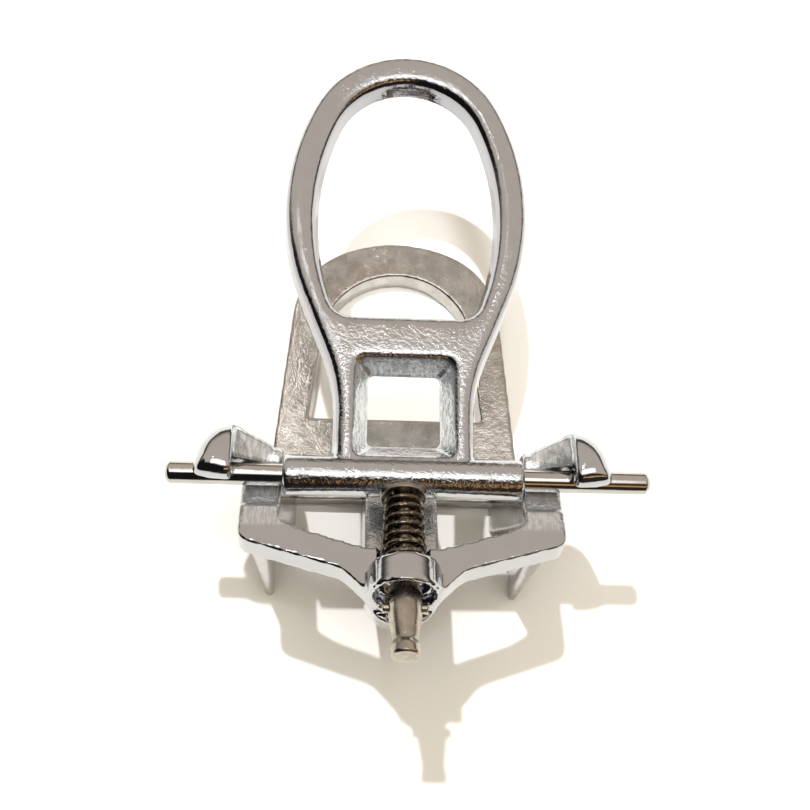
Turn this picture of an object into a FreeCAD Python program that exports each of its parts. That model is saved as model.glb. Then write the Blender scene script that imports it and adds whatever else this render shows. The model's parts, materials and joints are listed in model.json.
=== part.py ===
import FreeCAD, Part
import math
import os
import Sketcher
from FreeCAD import Placement, Rotation, Vector

# Free-plane hinge articulator: a stand that holds an upper and a lower plaster cast.
# Frame: X along the hinge pin, Y forward to the bows' fronts, Z up, table at Z = 0.
# The origin is on the table, straight below the middle of the hinge barrel.
# The spring and plunger lie on an inclined axis through the hinge, rising to the rear
# by guide_angle. Sketches on that incline use "u" (along it, rearward) and "v" (normal, up).

os.makedirs("parts", exist_ok=True)
doc = FreeCAD.newDocument("hinge_articulator")

# ---------------------------------------------------------------- driving dimensions
DIMS = {
    # hinge
    "pin_height": 46.5,
    "pin_radius": 2.38,
    "pin_length": 101.6,
    "pin_shift": 1.5,
    "pin_bore_radius": 2.43,
    "barrel_radius": 4.3,
    "barrel_length": 50.4,
    "barrel_end_radius": 1.0,
    "pin_chamfer": 0.7,
    # inclined guide
    "guide_angle": 22.0,
    "guide_drop": 2.0,
    "track_start_angle": 10.0,
    "track_end": 8.7,
    "seat_radius": 2.43,
    # upper casting
    "upper_base": 44.0,
    "upper_thick": 5.5,
    "upper_draft": 12.0,
    "crown_radius": 2.3,
    "loop_front": 102.8,
    "loop_front_radius": 24.2,
    "loop_half_width": 27.9,
    "loop_side_radius": 60.0,
    "neck_angle": 22.3,
    "rail_half_width": 15.3,
    "flare_radius": 38.0,
    "opening_front": 93.6,
    "opening_front_radius": 16.6,
    "opening_half_width": 19.9,
    "opening_corner_radius": 4.5,
    "opening_rear": 36.4,
    # window between the rails, and the bevel round it
    "window_half": 7.8,
    "window_front": 23.0,
    "window_rear": 7.0,
    "window_corner": 1.2,
    "bevel_half": 11.2,
    "bevel_front": 26.4,
    "bevel_rear": 3.6,
    "bevel_corner": 1.8,
    "bevel_ledge": 1.0,
    "window_edge_radius": 0.7,
    # lower casting
    "bow_height": 6.0,
    "bow_draft": 7.0,
    "bow_front": 74.4,
    "bow_front_radius": 36.0,
    "bow_corner_radius": 22.0,
    "bow_rear": -2.0,
    "bow_opening_front": 63.8,
    "bow_opening_radius": 18.8,
    "rear_gap_half": 24.6,
    "crossbar_front": 25.5,
    "crossbar_rear": 3.9,
    "pad_inner": 25.5,
    "pad_outer": 33.8,
    "yoke_thick": 5.5,
    "strut_half": 7.7,
    "strut_rear": 31.0,
    "strut_drop": 7.6,
    "strut_round": 7.0,
    "claw_inner": 36.5,
    "claw_outer": 44.2,
    # guide boss
    "boss_radius": 7.3,
    "boss_front": 22.2,
    "boss_rear": 28.4,
    "trough_radius": 5.4,
    "recess_radius": 6.1,
    "recess_depth": 3.2,
    "guide_bore_radius": 2.0,
    "guide_bore_depth": 12.0,
    "trough_depth": 24.0,
    # plunger and spring
    "rod_radius": 1.95,
    "rod_rear": 33.0,
    "cup_front": 4.36,
    "cup_radius": 4.9,
    "cup_length": 1.9,
    "cup_floor": 0.8,
    "cup_wall": 0.55,
    "wire_radius": 0.55,
    "spring_front_radius": 3.45,
    "spring_rear_radius": 4.1,
    "spring_turns": 8.0,
    "spring_play": 0.05,
    "knob_front": 25.4,
    "knob_rear": 40.8,
    "knob_shoulder": 3.35,
    "knob_waist": 2.35,
    "knob_button": 2.85,
    "cross_pin_radius": 1.0,
    "cross_pin_length": 8.9,
    "cross_pin_place": 30.6,
    "cross_pin_chamfer": 0.25,
}

sheet = doc.addObject("Spreadsheet::Sheet", "Dims")
for row, (alias, value) in enumerate(DIMS.items(), start=1):
    sheet.set("A%d" % row, alias)
    sheet.set("B%d" % row, str(value))
    sheet.setAlias("B%d" % row, alias)
doc.recompute()


def dim(alias):
    """Value of one driving dimension."""
    return float(getattr(sheet, alias))


GUIDE = math.radians(dim("guide_angle"))
HINGE = Vector(0, 0, dim("pin_height"))
ALONG = Vector(0, -math.cos(GUIDE), math.sin(GUIDE))
NORMAL = Vector(0, math.sin(GUIDE), math.cos(GUIDE))


def on_guide(u, v):
    """(Y, Z) of a point given along and normal to the incline."""
    point = HINGE + ALONG * u + NORMAL * v
    return (point.y, point.z)


# ---------------------------------------------------------------- sketch helpers
def origin_plane(body, role):
    for feature in body.Origin.OriginFeatures:
        if feature.Role == role:
            return feature
    raise ValueError(role)


def new_body(label):
    body = doc.addObject("PartDesign::Body", label)
    body.Label = label
    return body


def new_sketch(body, role, name, base=Vector(), rotation=Rotation()):
    sketch = body.newObject("Sketcher::SketchObject", name)
    sketch.AttachmentSupport = (origin_plane(body, role), [""])
    sketch.MapMode = "FlatFace"
    sketch.AttachmentOffset = Placement(base, rotation)
    return sketch


def flat(point):
    return Vector(point[0], point[1], 0)


def add_outline(sketch, path):
    """Closed outline through points; arc(via, to) steps are circular arcs."""
    here = flat(path[0])
    first = here
    ends = []
    for step in path[1:]:
        if isinstance(step, dict):
            end = flat(step["to"])
            ends.append(add_arc(sketch, here, flat(step["via"]), end))
        else:
            end = flat(step)
            ends.append((sketch.addGeometry(Part.LineSegment(here, end), False), 1, 2))
        here = end
    if here.distanceToPoint(first) > 1e-6:
        ends.append((sketch.addGeometry(Part.LineSegment(here, first), False), 1, 2))
    for index, (piece, _, leave) in enumerate(ends):
        follower, enter, _ = ends[(index + 1) % len(ends)]
        sketch.addConstraint(Sketcher.Constraint("Coincident", piece, leave, follower, enter))


def add_arc(sketch, start, via, end):
    """Arc through three points; returns its index and which of its ends comes first."""
    circle = Part.Arc(start, via, end).toShape().Curve
    centre = circle.Center
    turn = (via - start).cross(end - via).z
    begin, finish = (start, end) if turn > 0 else (end, start)
    angles = [math.atan2(p.y - centre.y, p.x - centre.x) for p in (begin, finish)]
    if angles[1] < angles[0]:
        angles[1] += 2 * math.pi
    flat_circle = Part.Circle(centre, Vector(0, 0, 1), circle.Radius)
    index = sketch.addGeometry(Part.ArcOfCircle(flat_circle, angles[0], angles[1]), False)
    return (index, 1, 2) if turn > 0 else (index, 2, 1)


def arc(via, to):
    return {"via": via, "to": to}


def add_circle(sketch, centre, alias):
    """Circle whose radius is bound to the sheet."""
    index = sketch.addGeometry(Part.Circle(flat(centre), Vector(0, 0, 1), dim(alias)), False)
    sketch.addConstraint(Sketcher.Constraint("Coincident", index, 3, -1, 1))
    place = sketch.addConstraint(Sketcher.Constraint("Radius", index, dim(alias)))
    sketch.setExpression("Constraints[%d]" % place, "Dims.%s" % alias)


def feature(body, kind, name, sketch, **settings):
    item = body.newObject("PartDesign::" + kind, name)
    item.Profile = sketch
    for key, value in settings.items():
        if isinstance(value, str) and value.startswith("="):
            item.setExpression(key, value[1:])
        else:
            setattr(item, key, value)
    doc.recompute()
    return item


def dress(body, kind, name, edges_of, size, expression=None):
    """Fillet or Chamfer on the edges that edges_of picks from the body's last shape."""
    base = body.Tip
    item = body.newObject("PartDesign::" + kind, name)
    item.Base = (base, edges_of(base.Shape))
    prop = "Radius" if kind == "Fillet" else "Size"
    setattr(item, prop, size)
    if expression:
        item.setExpression(prop, expression)
    doc.recompute()
    return item


def loft_between(body, kind, name, role, levels):
    """Ruled loft through closed outlines at offsets along the plane's normal."""
    sketches = []
    for index, (offset, outline) in enumerate(levels):
        sketch = new_sketch(body, role, "%s_%d" % (name, index), Vector(0, 0, offset))
        add_outline(sketch, outline)
        sketches.append(sketch)
    loft = body.newObject("PartDesign::" + kind, name)
    loft.Profile = sketches[0]
    loft.Sections = sketches[1:]
    loft.Ruled = True
    doc.recompute()
    return loft


def round_corner(before, corner, after, radius):
    """Points that replace a sharp corner by a tangent arc: start, via, end."""
    a = (flat(before) - flat(corner)).normalize()
    b = (flat(after) - flat(corner)).normalize()
    half = math.acos(max(-1.0, min(1.0, a.dot(b)))) / 2
    reach = radius / math.tan(half)
    middle = (a + b).normalize()
    centre = flat(corner) + middle * (radius / math.sin(half))
    start = flat(corner) + a * reach
    end = flat(corner) + b * reach
    via = centre - middle * radius
    return (start.x, start.y), (via.x, via.y), (end.x, end.y)


def rounded_path(corners):
    """Outline through (x, y, radius) corners, each rounded by its own radius."""
    path = []
    count = len(corners)
    for index, (x, y, radius) in enumerate(corners):
        before = corners[index - 1][:2]
        after = corners[(index + 1) % count][:2]
        if radius:
            start, via, end = round_corner(before, (x, y), after, radius)
            path.append(start)
            path.append(arc(via, end))
        else:
            path.append((x, y))
    return path


def mirrored(corners):
    """Right half of a symmetric outline (x > 0), completed by its left half."""
    left = [(-x, y, radius) for x, y, radius in reversed(corners) if abs(x) > 1e-9]
    return corners + left


def on_circle(centre, radius, angle):
    """Point of a circle; the angle is in degrees from +X."""
    turn = math.radians(angle)
    return (centre[0] + radius * math.cos(turn), centre[1] + radius * math.sin(turn))


def mirror_path(half, top):
    """Closed path: right half from the apex down, then its mirror image back up.

    half is a list of (via or None, end) steps that starts from the apex point top."""
    path = [top]
    ends = [top]
    for via, end in half:
        path.append(arc(via, end) if via else end)
        ends.append(end)
    start_index = len(half) - 1
    bottom = ends[-1]
    path.append((-bottom[0], bottom[1]))
    for index in range(start_index, -1, -1):
        via, _ = half[index]
        end = (-ends[index][0], ends[index][1])
        path.append(arc((-via[0], via[1]), end) if via else end)
    return path


# ---------------------------------------------------------------- upper casting
def egg_half(top_y, top_radius, side_x, side_radius, low_angle):
    """Right half of an egg: a top arc, then a flatter side arc that touches it.

    Returns the steps and the side arc's centre."""
    top_centre = (0, top_y - top_radius)
    side_cx = side_x - side_radius
    gap = side_radius - top_radius
    side_centre = (side_cx, top_centre[1] - math.sqrt(gap ** 2 - side_cx ** 2))
    touch = math.degrees(math.atan2(top_centre[1] - side_centre[1], -side_cx))
    join = on_circle(top_centre, top_radius, touch)
    top_via = on_circle(top_centre, top_radius, (90 + touch) / 2)
    low = on_circle(side_centre, side_radius, low_angle)
    side_via = on_circle(side_centre, side_radius, (touch + low_angle) / 2)
    return [(top_via, join), (side_via, low)], side_centre


def upper_outer(grow):
    """Outer outline of the upper casting: egg, leaning neck, flare, straight rails.

    grow offsets the whole outline outwards."""
    apex = (0, dim("loop_front") + grow)
    neck_angle = dim("neck_angle")
    rail_x = dim("rail_half_width") + grow
    flare_radius = dim("flare_radius") - grow
    front_radius = dim("loop_front_radius") + grow
    side_radius = dim("loop_side_radius") + grow
    side_x = dim("loop_half_width") + grow
    steps, _ = egg_half(apex[1], front_radius, side_x, side_radius, -neck_angle)
    neck = math.radians(neck_angle)
    egg_end = steps[-1][1]
    flare_cx = rail_x + flare_radius
    flare_x = flare_cx - flare_radius * math.cos(neck)
    run = (egg_end[0] - flare_x) / math.sin(neck)
    flare_y = egg_end[1] - run * math.cos(neck)
    flare_cy = flare_y - flare_radius * math.sin(neck)
    steps.append((None, (flare_x, flare_y)))
    flare_via = on_circle((flare_cx, flare_cy), flare_radius, 180 - neck_angle / 2)
    steps.append((flare_via, (rail_x, flare_cy)))
    steps.append((None, (rail_x, 0.0)))
    return mirror_path(steps, apex)


def upper_inner(grow):
    """Outline of the loop's opening: an egg cut off by the crossbar."""
    apex = (0, dim("opening_front") + grow)
    front_radius = dim("opening_front_radius") + grow
    side_radius = dim("loop_side_radius") + grow
    side_x = dim("opening_half_width") + grow
    corner_radius = dim("opening_corner_radius") + grow
    bar_y = dim("opening_rear") - grow
    # the side arc's end is replaced below by its touch with the corner arc
    steps, side_centre = egg_half(apex[1], front_radius, side_x, side_radius, -dim("neck_angle"))
    reach = side_radius - corner_radius
    corner_y = bar_y + corner_radius
    drop = side_centre[1] - corner_y
    corner = (side_centre[0] + math.sqrt(reach ** 2 - drop ** 2), corner_y)
    lean = math.degrees(math.atan2(-drop, corner[0] - side_centre[0]))
    touch = on_circle(side_centre, side_radius, lean)
    touch_top = math.degrees(math.asin((steps[0][1][1] - side_centre[1]) / side_radius))
    side_via = on_circle(side_centre, side_radius, (touch_top + lean) / 2)
    steps[-1] = (side_via, touch)
    corner_via = on_circle(corner, corner_radius, (lean - 90) / 2)
    steps.append((corner_via, (corner[0], bar_y)))
    return mirror_path(steps, apex)


def window_outline(name):
    """Rounded rectangle between the rails, from the named group of dimensions."""
    half = dim(name + "_half")
    corner = dim(name + "_corner")
    return rounded_path(mirrored([(half, dim(name + "_front"), corner),
                                  (half, dim(name + "_rear"), corner)]))


def build_upper():
    body = new_body("upper_bow")
    base = dim("upper_base")
    top = base + dim("upper_thick")
    inset = dim("upper_thick") * math.tan(math.radians(dim("upper_draft")))
    loft_between(body, "AdditiveLoft", "upper_plate", "XY_Plane",
                 [(base, upper_outer(0.0)), (top, upper_outer(-inset))])
    loft_between(body, "SubtractiveLoft", "loop_cut", "XY_Plane",
                 [(base, upper_inner(0.0)), (top, upper_inner(inset))])
    # window between the rails: a bevelled frame over a smaller opening
    opening = window_outline("window")
    loft_between(body, "SubtractiveLoft", "window_bevel", "XY_Plane",
                 [(base + dim("bevel_ledge"), opening), (top, window_outline("bevel"))])
    hole = new_sketch(body, "XY_Plane", "window_opening")
    hole.setExpression("AttachmentOffset.Base.z", "Dims.upper_base")
    add_outline(hole, opening)
    feature(body, "Pocket", "window_cut", hole, Length="=Dims.upper_thick", Reversed=True)

    dress(body, "Fillet", "crown", crown_edges, dim("crown_radius"), "Dims.crown_radius")
    dress(body, "Fillet", "window_edge", rim_edges, dim("window_edge_radius"),
          "Dims.window_edge_radius")

    barrel = new_sketch(body, "YZ_Plane", "barrel_circle")
    barrel.setExpression("AttachmentOffset.Base.y", "Dims.pin_height")
    add_circle(barrel, (0, 0), "barrel_radius")
    feature(body, "Pad", "barrel", barrel, Length="=Dims.barrel_length", Midplane=True)
    dress(body, "Fillet", "barrel_ends", barrel_end_edges, dim("barrel_end_radius"),
          "Dims.barrel_end_radius")
    bore = new_sketch(body, "YZ_Plane", "pin_bore_circle")
    bore.setExpression("AttachmentOffset.Base.y", "Dims.pin_height")
    add_circle(bore, (0, 0), "pin_bore_radius")
    feature(body, "Pocket", "pin_bore", bore, Length="=2 * Dims.barrel_length", Midplane=True)
    return body


# (half width, front, rear) of the area that holds the bevel's rim
WINDOW_REACH = (dim("bevel_half") + 0.4, dim("bevel_front") + 0.6, dim("bevel_rear") - 1.6)


def edge_names(shape, keep):
    return ["Edge%d" % (i + 1) for i, edge in enumerate(shape.Edges) if keep(edge)]


def crown_edges(shape):
    """Outer and loop-opening edges of the top face, apart from the rear end."""
    top = dim("upper_base") + dim("upper_thick")

    def keep(edge):
        box = edge.BoundBox
        level = abs(box.ZMin - top) < 1e-3 and abs(box.ZMax - top) < 1e-3
        centre = edge.CenterOfMass
        in_window = abs(centre.x) < WINDOW_REACH[0] and centre.y < WINDOW_REACH[1]
        return level and not in_window and box.YMax > 0.5
    return edge_names(shape, keep)


def rim_edges(shape):
    """Rim of the window's bevel on the top face."""
    top = dim("upper_base") + dim("upper_thick")

    def keep(edge):
        box = edge.BoundBox
        level = abs(box.ZMin - top) < 1e-3 and abs(box.ZMax - top) < 1e-3
        centre = edge.CenterOfMass
        across = abs(centre.x) < WINDOW_REACH[0]
        return level and across and WINDOW_REACH[2] < centre.y < WINDOW_REACH[1]
    return edge_names(shape, keep)


def barrel_end_edges(shape):
    half = dim("barrel_length") / 2

    def keep(edge):
        box = edge.BoundBox
        return abs(abs(box.XMin) - half) < 1e-3 and box.XLength < 1e-3
    return edge_names(shape, keep)


# ---------------------------------------------------------------- lower casting
def bow_outer(grow):
    """Outer outline of the horseshoe, from its front arc to the legs' rear ends."""
    apex = (0, dim("bow_front") + grow)
    rear_y = dim("bow_rear")
    front_radius = dim("bow_front_radius") + grow
    corner_radius = dim("bow_corner_radius") + grow
    lean = math.radians(5.5)
    leg_point = (29.9 + grow, 29.3)
    front_centre = (0, apex[1] - front_radius)
    side = (math.cos(lean), math.sin(lean))
    reach = side[0] * leg_point[0] + side[1] * leg_point[1] - corner_radius
    gap = front_radius - corner_radius
    # corner centre: on the line parallel to the leg, at the gap from the front centre
    foot = reach - side[1] * front_centre[1]
    along = math.sqrt(gap ** 2 - foot ** 2)
    corner = (side[0] * foot - side[1] * along, front_centre[1] + side[1] * foot + side[0] * along)
    touch = math.degrees(math.atan2(corner[1] - front_centre[1], corner[0]))
    join = on_circle(front_centre, front_radius, touch)
    front_via = on_circle(front_centre, front_radius, (90 + touch) / 2)
    leg_top = on_circle(corner, corner_radius, math.degrees(lean))
    corner_via = on_circle(corner, corner_radius, (touch + math.degrees(lean)) / 2)
    leg_end = (leg_top[0] + (leg_top[1] - rear_y) * math.tan(lean), rear_y)
    return mirror_path([(front_via, join), (corner_via, leg_top), (None, leg_end)], apex)


def bow_inner(grow):
    """Opening of the horseshoe in front of the crossbar."""
    apex = (0, dim("bow_opening_front") + grow)
    bar_y = dim("crossbar_front") - grow
    radius = dim("bow_opening_radius") + grow
    lean = math.radians(6.5)
    centre = (0, apex[1] - radius)
    join = on_circle(centre, radius, math.degrees(lean))
    via = on_circle(centre, radius, (90 + math.degrees(lean)) / 2)
    leg_end = (join[0] + (join[1] - bar_y) * math.tan(lean), bar_y)
    return mirror_path([(via, join), (None, leg_end)], apex)


def add_pad_profile(body, name, outline, inner, outer, side):
    """Pad of a (Y, Z) outline between two X places, on the right (1) or left (-1)."""
    sketch = new_sketch(body, "YZ_Plane", name)
    sketch.setExpression("AttachmentOffset.Base.z", inner if side > 0 else "-(%s)" % outer)
    add_outline(sketch, outline)
    return feature(body, "Pad", name + "_pad", sketch, Length="=%s - %s" % (outer, inner))


def build_bow(body):
    top = dim("bow_height")
    inset = top * math.tan(math.radians(dim("bow_draft")))
    loft_between(body, "AdditiveLoft", "bow", "XY_Plane",
                 [(0.0, bow_outer(0.0)), (top, bow_outer(-inset))])
    loft_between(body, "SubtractiveLoft", "bow_cut", "XY_Plane",
                 [(0.0, bow_inner(0.0)), (top, bow_inner(inset))])
    rear = new_sketch(body, "XY_Plane", "rear_gap")
    front_y = dim("crossbar_rear")
    rear_y = dim("bow_rear") - 10.0
    half = dim("rear_gap_half")
    add_outline(rear, [(half, front_y), (half, rear_y), (-half, rear_y), (-half, front_y)])
    feature(body, "Pocket", "rear_cut", rear, Length="=Dims.bow_height", Reversed=True)


def arc_middle(end, start, start_angle):
    """Middle of the arc that leaves start towards -Y, rising at start_angle degrees."""
    run = start[0] - end[0]
    rise = end[1] - start[1]
    chord_angle = math.atan2(rise, run)
    turn = chord_angle - math.radians(start_angle)
    sagitta = math.hypot(run, rise) / 2 * math.tan(turn / 2)
    return ((start[0] + end[0]) / 2 - sagitta * math.sin(chord_angle),
            (start[1] + end[1]) / 2 - sagitta * math.cos(chord_angle))


def pad_outline():
    """Side view of one pad: hollow condylar track, pin seat and front wall.

    The track leaves the seat at its start angle and steepens up to the guide face."""
    pin = (0.0, dim("pin_height"))
    seat = dim("seat_radius")
    start = dim("track_start_angle")
    track_low = on_circle(pin, seat, 270 - start)
    track_end = on_guide(dim("track_end"), -dim("guide_drop"))
    seat_low = on_circle(pin, seat, 290)
    seat_front = on_circle(pin, seat, 352)
    track_via = arc_middle(track_end, track_low, start)
    return [(track_end[0], 36.0), track_end, arc(track_via, track_low),
            arc(seat_low, seat_front), (4.9, 46.4), (6.4, 44.9), (6.4, 36.0)]


def claw_outline():
    """Side view of one claw: it passes in front of the pin and hooks over it."""
    pin = (0.0, dim("pin_height"))
    seat = dim("seat_radius")
    over = 90 - dim("guide_angle")
    low = on_circle(pin, seat, -20)
    mid = on_circle(pin, seat, 20)
    high = on_circle(pin, seat, over)
    tip = (high[0] + 1.9 * ALONG.y, high[1] + 1.9 * ALONG.z)
    return [low, arc(mid, high), tip, arc((-1.3, 50.6), (-1.0, 51.5)),
            arc((3.2, 53.6), (8.0, 52.9)), arc((10.5, 50.6), (11.0, 47.0)), (10.2, 42.0),
            arc((9.0, 40.6), (7.6, 40.4)), (3.4, 41.6)]


def box_outline(x0, x1, y0, y1, radius, side=1):
    corners = [(x0, y0, radius), (x1, y0, radius), (x1, y1, radius), (x0, y1, radius)]
    return rounded_path([(side * x, y, r) for x, y, r in corners])


def build_side(body, side):
    """Post, rear foot, pad and claw on one side."""
    tag = "right" if side > 0 else "left"
    loft_between(body, "AdditiveLoft", tag + "_post", "XY_Plane", [
        (0.0, box_outline(24.2, 32.6, -2.5, 12.0, 1.2, side)),
        (38.0, box_outline(25.5, 33.8, -8.0, 6.2, 1.2, side))])
    loft_between(body, "AdditiveLoft", tag + "_foot", "XY_Plane", [
        (0.0, box_outline(28.8, 31.0, -19.2, -14.5, 1.0, side)),
        (12.0, box_outline(28.2, 31.4, -17.6, -6.0, 1.2, side)),
        (44.2, box_outline(27.2, 32.2, -14.2, -4.0, 1.2, side))])
    add_pad_profile(body, tag + "_pad_side", pad_outline(), "Dims.pad_inner",
                    "Dims.pad_outer", side)
    loft_between(body, "AdditiveLoft", tag + "_arm", "YZ_Plane", [
        (side * 28.0, rounded_path([(2.7, 39.0, 0.6), (6.9, 39.0, 1.5), (7.2, 45.6, 1.5),
                                    (2.7, 46.0, 0.6)])),
        (side * 37.5, rounded_path([(2.7, 41.6, 0.6), (10.0, 41.4, 1.5), (10.6, 51.0, 1.5),
                                    (2.7, 51.4, 0.6)]))])
    add_pad_profile(body, tag + "_claw", claw_outline(), "Dims.claw_inner",
                    "Dims.claw_outer", side)


def yoke_outline():
    """Plan of the yoke on its inclined top face, as (x, -u) corners, right half."""
    right = [(7.6, -15.95, 0), (21.5, -11.5, 3.0), (25.5, -9.2, 0), (25.5, -6.0, 0),
             (33.8, -6.0, 0), (33.8, -14.2, 3.4), (12.4, -20.7, 6.0), (6.0, -27.2, 0)]
    return rounded_path(mirrored(right))


def build_yoke(body):
    sketch = new_sketch(body, "XY_Plane", "yoke_outline", HINGE - NORMAL * dim("guide_drop"),
                        Rotation(Vector(1, 0, 0), -dim("guide_angle")))
    sketch.setExpression("AttachmentOffset.Rotation.Angle", "-Dims.guide_angle")
    add_outline(sketch, yoke_outline())
    feature(body, "Pad", "yoke", sketch, Length="=Dims.yoke_thick", Reversed=True)


def strut_side():
    """Side view of the strut: a deep web from the crossbar up to the boss.

    Its top is the trough below the spring; its underside slopes up to the rear."""
    drop = -dim("strut_drop")
    rear = -dim("strut_rear")
    trough_front = on_guide(-4.0, drop)
    trough_rear_u = -(rear - HINGE.y - NORMAL.y * drop) / math.cos(GUIDE)
    bar_top = (8.2, dim("bow_height"))
    return [(8.2, 0.0), bar_top, trough_front, on_guide(trough_rear_u, drop),
            (rear, 40.0), (-20.0, 27.0), (-4.5, 3.0), (-2.5, 0.0)]


def build_strut(body):
    side = new_sketch(body, "YZ_Plane", "strut_profile")
    add_outline(side, strut_side())
    feature(body, "Pad", "strut", side, Length="=2 * Dims.strut_half", Midplane=True)
    rear = -dim("strut_rear")

    def rear_edges(shape):
        return edge_names(shape, lambda edge: abs(edge.BoundBox.YMin - rear) < 1e-3
                          and edge.BoundBox.YLength < 1e-3 and edge.BoundBox.XLength < 1e-3)
    dress(body, "Fillet", "strut_rear_round", rear_edges, dim("strut_round"), "Dims.strut_round")


def build_boss(body):
    tilt = Rotation(Vector(1, 0, 0), -dim("guide_angle"))
    for name, kind, place, alias, length in (
            ("boss", "Pad", dim("boss_front"), "boss_radius", "Dims.boss_rear - Dims.boss_front"),
            ("spring_trough", "Pocket", dim("boss_front"), "trough_radius", "Dims.trough_depth"),
            ("boss_recess", "Pocket", dim("boss_rear"), "recess_radius", "Dims.recess_depth"),
            ("guide_bore", "Pocket", dim("boss_rear"), "guide_bore_radius",
             "Dims.guide_bore_depth")):
        point = HINGE + ALONG * place
        # the XZ plane's own axes are X, Z and -Y
        sketch = new_sketch(body, "XZ_Plane", name + "_circle",
                            Vector(0, point.z, -point.y), tilt)
        add_circle(sketch, (0, 0), alias)
        feature(body, kind, name, sketch, Length="=" + length)


def build_lower():
    """The frame casting; the boss comes last, so that its bores cut the strut and yoke."""
    body = new_body("lower_frame")
    build_bow(body)
    build_strut(body)
    build_yoke(body)
    for side in (-1, 1):
        build_side(body, side)
    build_boss(body)
    return body


# ---------------------------------------------------------------- turned pieces
def plunger_placement():
    """Turned pieces are drawn round their own Z axis, then laid along the incline."""
    return Placement(HINGE, Rotation(Vector(1, 0, 0), 90 - dim("guide_angle")))


def turned(label, outline):
    """Revolution of a (radius, length) outline round the body's Z axis."""
    body = new_body(label)
    sketch = new_sketch(body, "XZ_Plane", label + "_profile")
    add_outline(sketch, outline)
    feature(body, "Revolution", label + "_turned", sketch, ReferenceAxis=(sketch, ["V_Axis"]),
            Angle=360.0)
    body.Placement = plunger_placement()
    return body


def end_circles(shape):
    """Edges that lie flat across X: the two end circles of a round pin."""
    return edge_names(shape, lambda edge: edge.BoundBox.XLength < 1e-3)


def build_pin():
    body = new_body("hinge_pin")
    sketch = new_sketch(body, "YZ_Plane", "pin_circle")
    sketch.setExpression("AttachmentOffset.Base.y", "Dims.pin_height")
    sketch.setExpression("AttachmentOffset.Base.z", "Dims.pin_shift - Dims.pin_length / 2")
    add_circle(sketch, (0, 0), "pin_radius")
    feature(body, "Pad", "pin", sketch, Length="=Dims.pin_length")
    dress(body, "Chamfer", "pin_ends", end_circles, dim("pin_chamfer"), "Dims.pin_chamfer")
    return body


def build_cup():
    front = dim("cup_front")
    floor = front + dim("cup_floor")
    rear = front + dim("cup_length")
    radius = dim("cup_radius")
    wall = dim("cup_wall")
    hole = dim("guide_bore_radius")
    return turned("spring_cup", [
        (hole, front), (radius - 0.4, front), (radius, front + 0.4), (radius, rear),
        (radius - wall, rear), (radius - wall, floor), (hole, floor)])


def build_rod():
    radius = dim("rod_radius")
    front = dim("cup_front")
    rear = dim("rod_rear")
    return turned("plunger_rod", [
        (0, front), (radius, front), (radius, rear - 0.5), (radius - 0.5, rear), (0, rear)])


def build_knob():
    front = dim("knob_front")
    rear = dim("knob_rear")
    shoulder = dim("knob_shoulder")
    waist = dim("knob_waist")
    button = dim("knob_button")
    bore = dim("rod_radius")
    bore_end = dim("rod_rear")
    waist_at = rear - 3.4
    # swelling from the shoulder down to the waist, then out to the button
    body = turned("pull_knob", [
        (bore, front), (shoulder - 0.9, front), arc((shoulder - 0.25, front + 0.35),
                                                   (shoulder, front + 1.2)),
        (shoulder, front + 5.6), arc((shoulder - 0.36, front + 8.6), (waist, waist_at)),
        arc((waist + 0.12, rear - 2.6), (button, rear - 1.7)),
        (button, rear - 0.55), (button - 0.55, rear), (0, rear), (0, bore_end), (bore, bore_end)])
    hole = new_sketch(body, "YZ_Plane", "cross_hole_circle")
    hole.setExpression("AttachmentOffset.Base.y", "Dims.cross_pin_place")
    add_circle(hole, (0, 0), "cross_pin_radius")
    feature(body, "Pocket", "cross_hole", hole, Length="=4 * Dims.knob_shoulder", Midplane=True)
    body.Placement = plunger_placement()
    return body


def build_cross_pin():
    body = new_body("cross_pin")
    sketch = new_sketch(body, "YZ_Plane", "cross_pin_circle")
    sketch.setExpression("AttachmentOffset.Base.y", "Dims.cross_pin_place")
    add_circle(sketch, (0, 0), "cross_pin_radius")
    feature(body, "Pad", "cross_pin_pad", sketch, Length="=Dims.cross_pin_length", Midplane=True)
    dress(body, "Chamfer", "cross_pin_ends", end_circles, dim("cross_pin_chamfer"),
          "Dims.cross_pin_chamfer")
    body.Placement = plunger_placement()
    return body


def bore_rod_for_cross_pin(body):
    hole = new_sketch(body, "YZ_Plane", "rod_cross_hole_circle")
    hole.setExpression("AttachmentOffset.Base.y", "Dims.cross_pin_place")
    add_circle(hole, (0, 0), "cross_pin_radius")
    feature(body, "Pocket", "rod_cross_hole", hole, Length="=4 * Dims.rod_radius", Midplane=True)
    body.Placement = plunger_placement()


def build_spring():
    """Conical compression spring, a wire swept along a tapering helix."""
    wire = dim("wire_radius")
    play = dim("spring_play")
    low = dim("cup_front") + dim("cup_floor") + wire + play
    high = dim("boss_front") - wire - play
    small = dim("spring_front_radius")
    large = dim("spring_rear_radius")
    length = high - low
    pitch = length / dim("spring_turns")
    cone = math.degrees(math.atan2(large - small, length))
    path = Part.makeHelix(pitch, length, small, cone)
    start = path.Edges[0].valueAt(path.Edges[0].FirstParameter)
    heading = path.Edges[0].tangentAt(path.Edges[0].FirstParameter)
    profile = Part.Wire([Part.makeCircle(wire, start, heading)])
    coil = Part.Wire(path.Edges).makePipeShell([profile], True, True)
    item = doc.addObject("Part::Feature", "spring")
    item.Label = "spring"
    item.Shape = coil
    lift = Placement(Vector(0, 0, low), Rotation())
    item.Placement = plunger_placement().multiply(lift)
    return item


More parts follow.
